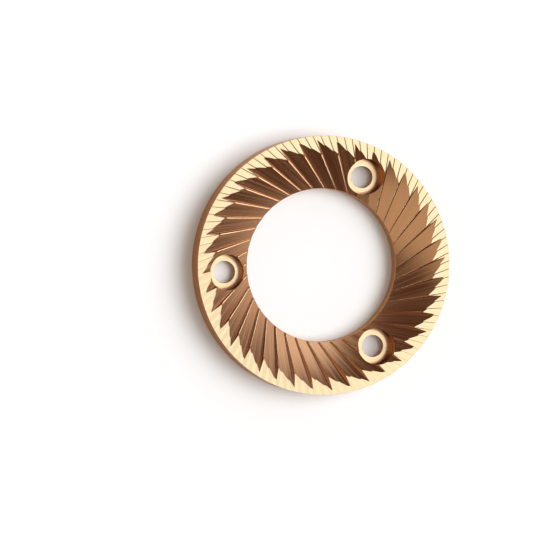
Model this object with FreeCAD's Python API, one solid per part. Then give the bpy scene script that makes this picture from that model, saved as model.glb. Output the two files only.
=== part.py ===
import FreeCAD, Part
import math
import os

# A flat grinding burr, one turned and hardened steel ring. The origin is the centre of the
# back face, +Z points out of the toothed face, angles are counter-clockwise seen from +Z.
# Lengths are in millimetres and angles in degrees.

# Ring
outer_diameter = 64.0
ring_width = 12.95
thickness = 7.6
rim_back_chamfer = 0.3
bore_back_chamfer = 0.6

# Both sets of grooves are straight and lean from the radius by this angle at the rim.
groove_lean_angle = 21.0

# Coarse breaking teeth: sloping grooves, shallow at the rim and deep at the bore
coarse_count = 40
coarse_first_angle = 8.52
coarse_rim_margin = 1.0
coarse_floor_angle = 14.0
coarse_facet_angle = 20.5
coarse_riser_draft = 30.0

# Fine grinding teeth on the flat outer band
fine_count = 100
fine_first_angle = 3.35
fine_rim_depth = 0.08
fine_floor_angle = 0.45
fine_ramp_angle = 5.0
fine_drop_angle = 25.0

# Counterbored screw holes, entered from the toothed face: the screw heads rest on flat seats
screw_count = 3
screw_first_angle = 68.6
screw_hole_diameter = 5.5
screw_recess_diameter = 8.9
screw_seat_height = 2.4
screw_back_chamfer = 0.8
bore_to_recess_wall = 0.9

# Extra reach of every cutting shape past the metal that it cuts
cutter_overrun = 1.0
shallow_cutter_overrun = 0.02

# Values worked out from the sizes above
outer_radius = outer_diameter / 2
bore_radius = outer_radius - ring_width
screw_hole_radius = screw_hole_diameter / 2
screw_recess_radius = screw_recess_diameter / 2
screw_circle_radius = bore_radius + bore_to_recess_wall + screw_recess_radius
groove_offset = outer_radius * math.sin(math.radians(groove_lean_angle))
coarse_tip_radius = outer_radius - coarse_rim_margin
up = FreeCAD.Vector(0, 0, 1)
centre = FreeCAD.Vector(0, 0, 0)


def slope(angle):
    """Rise for each millimetre of run."""
    return math.tan(math.radians(angle))


def tangent_length(radius):
    """Distance along a groove from its point nearest the axis to the given radius."""
    return math.sqrt(radius ** 2 - groove_offset ** 2)


def turned(profile):
    """Solid of revolution about Z from (radius, height) points."""
    points = [FreeCAD.Vector(radius, 0, height) for radius, height in profile]
    wire = Part.makePolygon(points + points[:1])
    return Part.Face(wire).revolve(centre, up, 360)


def ring_blank():
    """Turned ring with a flat front face and chamfered back edges."""
    return turned([
        (bore_radius + bore_back_chamfer, 0),
        (outer_radius - rim_back_chamfer, 0),
        (outer_radius, rim_back_chamfer),
        (outer_radius, thickness),
        (bore_radius, thickness),
        (bore_radius, bore_back_chamfer),
    ])


def groove_cutter(end_radius, end_depth, from_radius, to_radius, floor_angle, section):
    """Straight prism for a groove whose floor is end_depth deep at end_radius and angle zero.

    The prism runs from from_radius out to to_radius, and its floor line rises outward by
    floor_angle. section lists (sideways, above the floor) points, sideways counting with
    the angle.
    """
    heading = math.asin(groove_offset / end_radius)
    along = FreeCAD.Vector(math.cos(heading), math.sin(heading), slope(floor_angle))
    across = FreeCAD.Vector(-math.sin(heading), math.cos(heading), 0)
    end = FreeCAD.Vector(end_radius, 0, thickness - end_depth)
    start = end - along * (tangent_length(end_radius) - tangent_length(from_radius))
    points = [start + across * side + up * height for side, height in section]
    wire = Part.makePolygon(points + points[:1])
    return Part.Face(wire).extrude(along * (tangent_length(to_radius) - tangent_length(from_radius)))


def coarse_cutter():
    """One breaking groove: a broad facet on one side and a steep riser on the other.

    It starts inside the bore, where the groove passes nearest the axis.
    """
    height = tangent_length(coarse_tip_radius) * slope(coarse_floor_angle) + cutter_overrun
    facet_width = 2 * math.pi * coarse_tip_radius / coarse_count
    section = [
        (0, 0),
        (height * slope(coarse_riser_draft), height),
        (-facet_width, height),
        (-facet_width, facet_width * slope(coarse_facet_angle)),
    ]
    return groove_cutter(coarse_tip_radius, 0, groove_offset, outer_radius, coarse_floor_angle, section)


def fine_cutter():
    """One grinding groove: a long shallow ramp on one side and a short drop on the other.

    It starts halfway across the ring, above metal that the coarse grooves take away.
    """
    from_radius = (bore_radius + outer_radius) / 2
    to_radius = outer_radius + cutter_overrun
    reach = tangent_length(outer_radius) - tangent_length(from_radius)
    deepest = fine_rim_depth + reach * slope(fine_floor_angle) + shallow_cutter_overrun
    section = [
        (0, 0),
        (deepest / slope(fine_ramp_angle), deepest),
        (deepest / slope(fine_ramp_angle), deepest + cutter_overrun),
        (-deepest / slope(fine_drop_angle), deepest + cutter_overrun),
        (-deepest / slope(fine_drop_angle), deepest),
    ]
    return groove_cutter(outer_radius, fine_rim_depth, from_radius, to_radius, fine_floor_angle, section)


def screw_cutter():
    """Through hole with a chamfer at the back, and a wider recess down to a flat seat."""
    cutter = turned([
        (0, -cutter_overrun),
        (screw_hole_radius + screw_back_chamfer + cutter_overrun, -cutter_overrun),
        (screw_hole_radius, screw_back_chamfer),
        (screw_hole_radius, screw_seat_height),
        (screw_recess_radius, screw_seat_height),
        (screw_recess_radius, thickness + cutter_overrun),
        (0, thickness + cutter_overrun),
    ])
    cutter.translate(FreeCAD.Vector(screw_circle_radius, 0, 0))
    return cutter


def around(shape, count, first_angle):
    """Copies of a shape spaced evenly about Z."""
    copies = []
    for index in range(count):
        copy = shape.copy()
        copy.rotate(centre, up, first_angle + index * 360 / count)
        copies.append(copy)
    return copies


burr = ring_blank()
burr = burr.cut(around(coarse_cutter(), coarse_count, coarse_first_angle))
burr = burr.cut(around(fine_cutter(), fine_count, fine_first_angle))
burr = burr.cut(around(screw_cutter(), screw_count, screw_first_angle))
burr = burr.removeSplitter()

os.makedirs("parts", exist_ok=True)
burr.exportStep("parts/burr.step")
print("burr:", len(burr.Solids), "solid, valid", burr.isValid(), "volume mm3", round(burr.Volume, 1))
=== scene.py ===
import math

import bpy
from mathutils import Matrix, Vector


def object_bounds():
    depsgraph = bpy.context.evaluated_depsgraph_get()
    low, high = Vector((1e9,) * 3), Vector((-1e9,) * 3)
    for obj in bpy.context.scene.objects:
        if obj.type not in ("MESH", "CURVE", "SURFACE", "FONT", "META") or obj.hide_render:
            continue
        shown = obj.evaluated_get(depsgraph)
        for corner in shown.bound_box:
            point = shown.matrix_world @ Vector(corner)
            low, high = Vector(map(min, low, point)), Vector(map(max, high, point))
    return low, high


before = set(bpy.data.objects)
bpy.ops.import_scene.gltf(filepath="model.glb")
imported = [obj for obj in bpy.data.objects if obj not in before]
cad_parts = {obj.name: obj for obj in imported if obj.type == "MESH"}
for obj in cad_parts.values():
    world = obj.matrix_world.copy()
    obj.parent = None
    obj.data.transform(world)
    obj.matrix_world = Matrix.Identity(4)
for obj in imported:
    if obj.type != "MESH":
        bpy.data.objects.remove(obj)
cad_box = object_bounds()

# The burr, in millimetres and degrees, angles counter-clockwise seen from above
MM = 0.001
low, high = cad_box
outer_radius = (high.x - low.x) / 2 / MM
thickness = high.z / MM
ring_width = 12.95
bore_radius = outer_radius - ring_width
groove_lean_angle = 21.0
groove_offset = outer_radius * math.sin(math.radians(groove_lean_angle))

coarse_count = 40
coarse_first_angle = 8.52
coarse_rim_margin = 1.0
coarse_floor_angle = 14.0
coarse_facet_angle = 20.5
coarse_riser_draft = 30.0
coarse_tip_radius = outer_radius - coarse_rim_margin
coarse_tip_along = math.sqrt(coarse_tip_radius ** 2 - groove_offset ** 2)
coarse_heading = coarse_first_angle + math.degrees(math.asin(groove_offset / coarse_tip_radius))

fine_count = 100
fine_first_angle = 3.35
fine_heading = fine_first_angle + groove_lean_angle
fine_zone_depth = 0.2

screw_count = 3
screw_first_angle = 68.6
screw_circle_radius = 24.4
screw_hole_radius = 2.75
screw_recess_radius = 4.45
screw_seat_height = 2.4

# Normals of a coarse groove: outward along it, sideways, and up
floor_fall = -math.tan(math.radians(coarse_floor_angle))
facet_lean = math.tan(math.radians(coarse_facet_angle))
riser_lean = -1 / math.tan(math.radians(coarse_riser_draft))
facet_normal = Vector((floor_fall, facet_lean, 1.0)).normalized()
riser_normal = Vector((floor_fall, riser_lean, 1.0)).normalized()
valley_normal = (facet_normal + riser_normal).normalized()

# A little room round a face, so that every point on it is counted as its own
margin = 0.1

# Height of a normal below which a face is a wall or at least steep, and the outward part of a
# normal below which a gentle face is a coarse facet
wall_below = 0.3
steep_below = 0.7
facet_outward_below = -0.27

# Copper-coloured hard coating, as linear light: in the grooves; a yellower copy on the fine teeth and
# seats, a painted highlight tint that makes their bright reflection read cream; a paler copy on the
# turned sides, painted light for a brighter reflection; a paler colour on the crests, a painted
# highlight; and the tint at a grazing angle
coating = (0.67, 0.355, 0.196)
painted_highlight_tint = (0.43, 0.341, 0.209)
painted_light_side_coating = (0.82, 0.52, 0.34)
painted_crest_highlight = (0.84, 0.62, 0.37)
coating_edge_tint = (0.72, 0.48, 0.32, 1.0)

# Share of the painted highlight tint on a screw seat, next to the hole and at the outer edge; the
# smaller share at the edge is a painted dark reflection of the recess wall
seat_highlight_tint_share_at_hole = 1.0
seat_highlight_tint_share_at_edge = 0.3

# Long marks of the grinding wheel: width and length in millimetres, and share of the thin ones
broad_marks = (0.7, 60.0)
thin_marks = (0.3, 50.0)
thin_share = 0.5

# Turning marks: width in millimetres and length in radians
seat_marks = (0.25, 1.5)
side_marks = (0.3, 0.6)
recess_marks = (0.5, 2.0)

# Noise that draws the marks: its detail, the step in it from each tooth's pattern to the next, and
# in such steps the shift of the thin marks and the patterns of the turned faces
mark_detail = 2.0
pattern_step = 7.31
thin_marks_shift = 3.7
seat_pattern = 1.0
side_pattern = 2.0
recess_pattern = 3.0

# Level of the noise in the darkest and in the palest marks, and brightness of the coating there
mark_levels = (0.36, 0.64)
groove_shades = (0.92, 1.07)
even_shades = (0.98, 1.01)
# In the recesses the turning marks are drawn strong enough to stand in for dark and pale reflection
# bands: partly real marks, partly painted reflection
recess_mark_and_reflection_shades = (0.55, 1.3)

# Depth of the marks in millimetres, in the grooves and on all other faces
groove_mark_depth = 0.016
even_mark_depth = 0.0015

# Roughness in the darkest and in the palest marks of the grooves, and on all other faces, and
# how much more the marks spread the light across than along
groove_roughness = (0.15, 0.26)
even_roughness = 0.2
sideways_spread = 0.4

# Wear: radius of the sharp edges and of the crests of the coarse teeth, and the share by which
# use has flattened the fine teeth
edge_rounding = 0.06
crest_rounding = 0.28
rounding_samples = 8
fine_edge_wear = 0.52

# Worn land on the crests: its slope along the tooth, and where it begins and is whole, by the
# cosine of the edge's bend, depth below the toothed face, and distance from valley and from bore
crest_land_slope = 0.2
crest_bend = (0.995, 0.95)
crest_depth = (0.1, 0.3)
crest_from_valley = (0.2, 0.4)
crest_from_bore = (0.1, 0.4)

# The wheel left the coarse facets a little twisted: change of the normal outward and sideways
# for each millimetre along the groove, counted from its middle
facet_rise_change = -0.006
facet_slope_change = -0.018
facet_middle = 22.0

# The wheel left a round bottom in the coarse grooves: half its width, and how much that grows for
# each millimetre from the tip of the groove
valley_fillet = 0.1
valley_fillet_growth = 0.06

# The cutter left the screw seats a little dished: slope at the edge of the seat
seat_dish = 0.2

# Camera, in millimetres: it looks down from the left, 13 degrees off the axis of the burr
camera_place = Vector((-167.44, -1.38, 665.2))
camera_back = Vector((-0.2262, 0.0001, 0.9741)).normalized()
camera_up = Vector((-0.0800, 0.9966, -0.0187))
camera_lens = 185.7
camera_sensor = 36.0

# Soft lights on the dome: azimuth, elevation, radius of the even part, radius where it ends, colour
dome_lights = [
    (0, 65, 18, 24, (2.75, 2.75, 2.75)),
    (190, 57, 11, 29, (0.74, 0.69, 0.56)),
    (43, 15, 12, 27, (1.25, 1.33, 1.38)),
]

# The rest of the dome: pale near the horizon and dark above, with a soft border that leans a little
horizon_colour = (0.88, 0.86, 0.84)
dark_colour = (0.115, 0.073, 0.052)
border_elevations = (16, 41)
border_lean = -0.04

# Table, with half its side in metres, and the lamp that lights it from an azimuth and elevation
table_reach = 4.0
table_colour = (0.85, 0.86, 0.875, 1.0)
table_roughness = 0.9
lamp_energy = 2.1
lamp_spread = 50
lamp_direction = (15, 55)

WHITE = (1.0, 1.0, 1.0)
UP = (0.0, 0.0, 1.0)


class Graph:
    """Adds nodes to a node tree, links their inputs and returns their output sockets."""

    def __init__(self, owner):
        owner.use_nodes = True
        self.tree = owner.node_tree
        self.tree.nodes.clear()

    def node(self, kind, inputs, output=0, **settings):
        made = self.tree.nodes.new(kind)
        for name, value in settings.items():
            setattr(made, name, value)
        for name, value in inputs.items():
            if isinstance(value, bpy.types.NodeSocket):
                self.tree.links.new(value, made.inputs[name])
            else:
                made.inputs[name].default_value = value
        return made.outputs[output] if made.outputs else None

    def math(self, operation, *values):
        return self.node("ShaderNodeMath", dict(enumerate(values)), operation=operation)

    def product(self, first, *others):
        result = first
        for other in others:
            result = self.math("MULTIPLY", result, other)
        return result

    def vector(self, operation, *values, output="Vector"):
        return self.node("ShaderNodeVectorMath", dict(enumerate(values)), output, operation=operation)

    def scaled(self, vector, factor):
        return self.node("ShaderNodeVectorMath", {0: vector, "Scale": factor}, operation="SCALE")

    def dot(self, first, second):
        return self.vector("DOT_PRODUCT", first, second, output="Value")

    def length(self, vector):
        return self.vector("LENGTH", vector, output="Value")

    def combine(self, x, y, z):
        return self.node("ShaderNodeCombineXYZ", {0: x, 1: y, 2: z})

    def split(self, vector):
        """The three parts of a vector."""
        made = self.tree.nodes.new("ShaderNodeSeparateXYZ")
        self.tree.links.new(vector, made.inputs[0])
        return made.outputs

    def pointing(self, angle):
        """Level unit vector at an angle about Z."""
        return self.combine(self.math("COSINE", angle), self.math("SINE", angle), 0.0)

    def turned_back(self, point, angle):
        """The three parts of a point turned back about Z by an angle."""
        inputs = {"Vector": point, "Angle": self.math("MULTIPLY", angle, -1.0)}
        return self.split(self.node("ShaderNodeVectorRotate", inputs, rotation_type="Z_AXIS"))

    def between(self, value, start, stop, at_start=0.0, at_stop=1.0):
        """Smooth step of value, from at_start to at_stop."""
        inputs = {
            "Value": value,
            "From Min": start,
            "From Max": stop,
            "To Min": at_start,
            "To Max": at_stop,
        }
        return self.node("ShaderNodeMapRange", inputs, interpolation_type="SMOOTHSTEP")

    def mix(self, factor, first, second):
        """Number between first and second."""
        span = self.math("SUBTRACT", second, first)
        return self.math("MULTIPLY_ADD", span, factor, first)

    def mix_vector(self, factor, first, second):
        """Vector or colour between first and second."""
        span = self.vector("SUBTRACT", second, first)
        return self.vector("ADD", first, self.scaled(span, factor))


class Place:
    """Where a shading point lies on the burr, in millimetres, and what kind of face it is on."""

    def __init__(self, graph):
        self.graph = graph
        coordinates = graph.tree.nodes.new("ShaderNodeTexCoord")
        self.point = graph.scaled(coordinates.outputs["Object"], 1 / MM)
        self.normal = coordinates.outputs["Normal"]
        x, y, self.height = graph.split(self.point)
        level = graph.combine(x, y, 0.0)
        self.radius = graph.length(level)
        self.radial = graph.vector("NORMALIZE", level)
        self.angle = graph.math("ARCTAN2", y, x)
        self.find_screw()
        self.find_face()

    def find_screw(self):
        """Distance and angle of this point about the axis of the nearest screw hole."""
        graph = self.graph
        pitch = math.radians(360 / screw_count)
        first = math.radians(screw_first_angle)
        steps = graph.math("DIVIDE", graph.math("SUBTRACT", self.angle, first), pitch)
        turn = graph.math("MULTIPLY_ADD", graph.math("ROUND", steps), pitch, first)
        x, y, _ = graph.turned_back(self.point, turn)
        x = graph.math("SUBTRACT", x, screw_circle_radius)
        self.screw_distance = graph.length(graph.combine(x, y, 0.0))
        self.screw_angle = graph.math("ARCTAN2", y, x)
        self.from_screw = graph.pointing(graph.math("ADD", self.screw_angle, turn))

    def find_face(self):
        """A value for each kind of face, which is one on it and zero elsewhere."""
        graph = self.graph
        self.normal_height = graph.split(self.normal)[2]
        self.is_wall = graph.math("LESS_THAN", self.normal_height, wall_below)
        self.is_steep = graph.math("LESS_THAN", self.normal_height, steep_below)
        is_gentle = graph.math("SUBTRACT", 1.0, self.is_steep)

        faces_in = graph.math("LESS_THAN", graph.dot(self.normal, self.radial), facet_outward_below)
        self.is_facet = graph.product(faces_in, is_gentle)
        is_riser = graph.math("SUBTRACT", self.is_steep, self.is_wall)
        self.is_groove = graph.math("MAXIMUM", self.is_facet, is_riser)

        is_high = graph.math("GREATER_THAN", self.height, thickness - fine_zone_depth)
        self.is_fine = graph.product(is_high, graph.math("SUBTRACT", is_gentle, self.is_facet))
        is_low = graph.math("LESS_THAN", self.height, screw_seat_height + margin)
        self.is_seat = graph.product(is_low, is_gentle)

        near_screw = graph.math("LESS_THAN", self.screw_distance, screw_recess_radius + margin)
        above_seat = graph.math("GREATER_THAN", self.height, screw_seat_height)
        self.is_recess = graph.product(self.is_wall, near_screw, above_seat)
        self.is_side = graph.math("SUBTRACT", self.is_wall, self.is_recess)

    def groove_steps(self, count, heading):
        """How many grooves of a set lie between angle zero and this point, with a fraction."""
        graph = self.graph
        squared = graph.math("SUBTRACT", graph.product(self.radius, self.radius), groove_offset ** 2)
        along = graph.math("SQRT", graph.math("MAXIMUM", squared, margin ** 2))
        swept = graph.math("ADD", self.angle, graph.math("ARCTAN2", groove_offset, along))
        from_first = graph.math("SUBTRACT", swept, math.radians(heading))
        return graph.math("DIVIDE", from_first, math.radians(360 / count))

    def in_groove(self, index, count, heading):
        """Distance along a groove, across it from its floor line, and the groove's heading."""
        graph = self.graph
        turn = graph.math("MULTIPLY_ADD", index, math.radians(360 / count), math.radians(heading))
        along, across, _ = graph.turned_back(self.point, turn)
        return along, graph.math("ADD", across, groove_offset), turn


class Tooth:
    """The fine or coarse groove that the point lies in: where in it, and which way it runs."""

    def __init__(self, graph, place):
        steps = place.groove_steps(coarse_count, coarse_heading)
        coarse_index = graph.mix(place.is_steep, graph.math("CEIL", steps), graph.math("FLOOR", steps))
        coarse = place.in_groove(coarse_index, coarse_count, coarse_heading)
        self.from_tip = graph.math("SUBTRACT", coarse_tip_along, coarse[0])
        self.from_valley = graph.math("ABSOLUTE", coarse[1])

        fine_index = graph.math("FLOOR", place.groove_steps(fine_count, fine_heading))
        fine = place.in_groove(fine_index, fine_count, fine_heading)
        self.index = graph.mix(place.is_fine, coarse_index, fine_index)
        self.along = graph.mix(place.is_fine, coarse[0], fine[0])
        self.across = graph.mix(place.is_fine, coarse[1], fine[1])
        heading = graph.mix(place.is_fine, coarse[2], fine[2])
        self.outward = graph.pointing(heading)
        self.sideways = graph.pointing(graph.math("ADD", heading, math.pi / 2))


def marks(graph, along, across, pattern, size):
    """Marks of the given width and length, as levels from 0 to 1."""
    width, length = size
    stretched = graph.combine(
        graph.math("MULTIPLY", along, 1 / length),
        graph.math("MULTIPLY", across, 1 / width),
        graph.math("MULTIPLY", pattern, pattern_step),
    )
    return graph.node("ShaderNodeTexNoise", {"Vector": stretched, "Scale": 1.0, "Detail": mark_detail})


def tool_marks(graph, place, tooth):
    """Grinding marks along every groove, and turning marks on the seats, recesses and sides."""
    broad = marks(graph, tooth.along, tooth.across, tooth.index, broad_marks)
    shifted = graph.math("ADD", tooth.index, thin_marks_shift)
    thin = marks(graph, tooth.along, tooth.across, shifted, thin_marks)
    on_seat = marks(graph, place.screw_angle, place.screw_distance, seat_pattern, seat_marks)
    over_side = graph.math("ADD", place.height, place.radius)
    on_side = marks(graph, place.angle, over_side, side_pattern, side_marks)
    in_recess = marks(graph, place.screw_angle, place.height, recess_pattern, recess_marks)

    levels = graph.mix(thin_share, broad, thin)
    levels = graph.mix(place.is_seat, levels, on_seat)
    levels = graph.mix(place.is_side, levels, on_side)
    return graph.mix(place.is_recess, levels, in_recess)


def spread_direction(graph, place, tooth):
    """Direction across the marks, along which they spread the light."""
    flatness = graph.math("ABSOLUTE", place.normal_height)
    on_wall = graph.mix_vector(flatness, UP, place.radial)
    spread = graph.mix_vector(place.is_seat, tooth.sideways, place.from_screw)
    return graph.mix_vector(place.is_wall, spread, on_wall)


def crest_zone(graph, place, tooth):
    """One near the crests of the coarse teeth, zero at their valleys and where the crests end."""
    return graph.product(
        place.is_groove,
        graph.between(tooth.from_valley, *crest_from_valley),
        graph.between(place.height, *(thickness - depth for depth in crest_depth)),
        graph.between(place.radius, *(bore_radius + distance for distance in crest_from_bore)),
        graph.math("GREATER_THAN", place.screw_distance, screw_recess_radius + crest_rounding),
    )


def facet_twist(graph, place, tooth):
    """What the twist of the coarse facets adds to the normal."""
    from_middle = graph.product(graph.math("SUBTRACT", tooth.along, facet_middle), place.is_facet)
    rise = graph.scaled(tooth.outward, graph.product(from_middle, facet_rise_change))
    slope = graph.scaled(tooth.sideways, graph.product(from_middle, facet_slope_change))
    return graph.vector("ADD", rise, slope)


def seat_hollow(graph, place):
    """What the dished form of the screw seats adds to the normal."""
    slope = graph.between(place.screw_distance, screw_hole_radius, screw_recess_radius, 0.0, -seat_dish)
    return graph.scaled(place.from_screw, graph.product(slope, place.is_seat))


def groove_bottom(graph, place, tooth):
    """Normal on the floor line of a coarse groove, and how much of it this point takes."""
    outward = graph.scaled(tooth.outward, valley_normal.x)
    sideways = graph.scaled(tooth.sideways, valley_normal.y)
    normal = graph.vector("ADD", graph.vector("ADD", outward, sideways), (0.0, 0.0, valley_normal.z))
    reach = graph.math("MINIMUM", graph.product(tooth.from_tip, valley_fillet_growth), valley_fillet)
    share = graph.product(graph.between(tooth.from_valley, 0.0, reach, 1.0, 0.0), place.is_groove)
    return normal, share


def worn_normal(graph, place, tooth):
    """Normal of the worn surface without its marks, and how much of it is the land of a crest, which
    the colour also marks with a painted highlight.
    """
    near_crest = crest_zone(graph, place, tooth)
    rounding = graph.mix(near_crest, edge_rounding * MM, crest_rounding * MM)
    normal = graph.node("ShaderNodeBevel", {"Radius": rounding}, samples=rounding_samples)
    normal = graph.mix_vector(graph.product(place.is_fine, fine_edge_wear), normal, UP)

    bent = graph.between(graph.dot(normal, place.normal), *crest_bend)
    on_crest = graph.product(near_crest, bent)
    land = graph.vector("ADD", graph.scaled(tooth.outward, -crest_land_slope), UP)
    normal = graph.mix_vector(on_crest, normal, land)

    normal = graph.vector("ADD", normal, facet_twist(graph, place, tooth))
    normal = graph.vector("ADD", normal, seat_hollow(graph, place))
    bottom, in_bottom = groove_bottom(graph, place, tooth)
    normal = graph.mix_vector(in_bottom, normal, bottom)
    return graph.vector("NORMALIZE", normal), on_crest


def coating_colour(graph, place, levels, on_crest):
    """Colour of the coating, with its marks, its painted highlight tint and crest highlight, and its
    painted light on the sides.
    """
    # Less of the painted highlight tint towards the seat's edge: painted dark reflection of the recess
    # wall
    seat_highlight_tint_share = graph.between(
        place.screw_distance,
        screw_hole_radius,
        screw_recess_radius,
        seat_highlight_tint_share_at_hole,
        seat_highlight_tint_share_at_edge,
    )
    highlight_tint_share = graph.math("MULTIPLY_ADD", place.is_seat, seat_highlight_tint_share, place.is_fine)
    # Yellower copy of the coating on the fine teeth and seats: painted highlight tint
    colour = graph.mix_vector(highlight_tint_share, coating, painted_highlight_tint)
    # Paler colour on the crests: painted highlight
    colour = graph.mix_vector(on_crest, colour, painted_crest_highlight)
    # Paler copy of the coating on the sides: painted light, a brighter reflection than the scene gives
    colour = graph.mix_vector(place.is_side, colour, painted_light_side_coating)

    is_even = graph.math("ADD", place.is_fine, place.is_side)
    shades = []
    # Recess walls take the strong shades: turning marks and painted reflection bands
    for groove, even, recess in zip(groove_shades, even_shades, recess_mark_and_reflection_shades):
        shades.append(graph.mix(place.is_recess, graph.mix(is_even, groove, even), recess))
    return graph.scaled(colour, graph.between(levels, *mark_levels, *shades))


def burr_material():
    """Ground, hardened and coated steel, with painted highlights and painted light in its colour."""
    material = bpy.data.materials.new("coated_steel")
    graph = Graph(material)
    place = Place(graph)
    tooth = Tooth(graph, place)
    levels = tool_marks(graph, place, tooth)
    normal, on_crest = worn_normal(graph, place, tooth)

    not_groove = graph.math("ADD", place.is_fine, graph.math("ADD", place.is_seat, place.is_wall))
    marked_normal = graph.node("ShaderNodeBump", {
        "Height": levels,
        "Distance": graph.mix(not_groove, groove_mark_depth * MM, even_mark_depth * MM),
        "Strength": 1.0,
        "Normal": normal,
    })
    in_groove_roughness = graph.between(levels, *mark_levels, *groove_roughness)
    shader = graph.node("ShaderNodeBsdfPrincipled", {
        "Base Color": coating_colour(graph, place, levels, on_crest),
        "Metallic": 1.0,
        "Specular Tint": coating_edge_tint,
        "Roughness": graph.mix(not_groove, in_groove_roughness, even_roughness),
        "Anisotropic": sideways_spread,
        "Tangent": spread_direction(graph, place, tooth),
        "Normal": marked_normal,
    })
    graph.node("ShaderNodeOutputMaterial", {"Surface": shader})
    return material


def table_material():
    """Matt white surface."""
    material = bpy.data.materials.new("white_table")
    graph = Graph(material)
    shader = graph.node("ShaderNodeBsdfPrincipled", {
        "Base Color": table_colour,
        "Roughness": table_roughness,
        "Specular IOR Level": 0.0,
    })
    graph.node("ShaderNodeOutputMaterial", {"Surface": shader})
    return material


def make_table():
    """Table top, wide enough that no view looks past it."""
    mesh = bpy.data.meshes.new("table")
    corners = [(x * table_reach, y * table_reach, 0) for x, y in ((-1, -1), (1, -1), (1, 1), (-1, 1))]
    mesh.from_pydata(corners, [], [(0, 1, 2, 3)])
    table = bpy.data.objects.new("table", mesh)
    bpy.context.scene.collection.objects.link(table)
    table.data.materials.append(table_material())


def direction(azimuth, elevation):
    """Unit vector towards a place on the sky dome, from angles in degrees."""
    level = math.cos(math.radians(elevation))
    x = level * math.cos(math.radians(azimuth))
    y = level * math.sin(math.radians(azimuth))
    return Vector((x, y, math.sin(math.radians(elevation))))


def make_world():
    """Dim studio dome with a pale horizon and broad soft lights, white where the camera sees it."""
    world = bpy.data.worlds.new("studio")
    bpy.context.scene.world = world
    graph = Graph(world)
    towards = graph.tree.nodes.new("ShaderNodeTexCoord").outputs["Generated"]
    _, y, z = graph.split(towards)
    height = graph.math("MULTIPLY_ADD", y, border_lean, z)
    border = [math.sin(math.radians(elevation)) for elevation in border_elevations]
    colour = graph.mix_vector(graph.between(height, *border), horizon_colour, dark_colour)
    for azimuth, elevation, even, end, light in dome_lights:
        facing = graph.dot(towards, direction(azimuth, elevation))
        cover = graph.between(facing, math.cos(math.radians(end)), math.cos(math.radians(even)))
        colour = graph.mix_vector(cover, colour, light)
    seen = graph.tree.nodes.new("ShaderNodeLightPath").outputs["Is Camera Ray"]
    colour = graph.mix_vector(seen, colour, WHITE)
    background = graph.node("ShaderNodeBackground", {"Color": colour, "Strength": 1.0})
    graph.node("ShaderNodeOutputWorld", {"Surface": background})


def make_table_light():
    """Broad soft lamp from the right that lights the table and leaves the metal to the dome."""
    lamp = bpy.data.lights.new("table_light", "SUN")
    lamp.energy = lamp_energy
    lamp.angle = math.radians(lamp_spread)
    holder = bpy.data.objects.new("table_light", lamp)
    bpy.context.scene.collection.objects.link(holder)
    holder.rotation_euler = direction(*lamp_direction).to_track_quat("Z", "Y").to_euler()
    holder.visible_glossy = False


def make_camera():
    """Camera that sees the burr as the photograph does."""
    data = bpy.data.cameras.new("camera")
    data.lens = camera_lens
    data.sensor_width = camera_sensor
    camera = bpy.data.objects.new("camera", data)
    bpy.context.scene.collection.objects.link(camera)
    right = camera_up.cross(camera_back).normalized()
    up = camera_back.cross(right)
    turn = Matrix((right, up, camera_back)).transposed().to_4x4()
    camera.matrix_world = Matrix.Translation(camera_place * MM) @ turn
    bpy.context.scene.camera = camera


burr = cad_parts["burr"]
for slot in burr.material_slots:
    slot.material = burr_material()
make_table()
make_world()
make_table_light()
make_camera()
bpy.context.scene.view_settings.view_transform = "Standard"
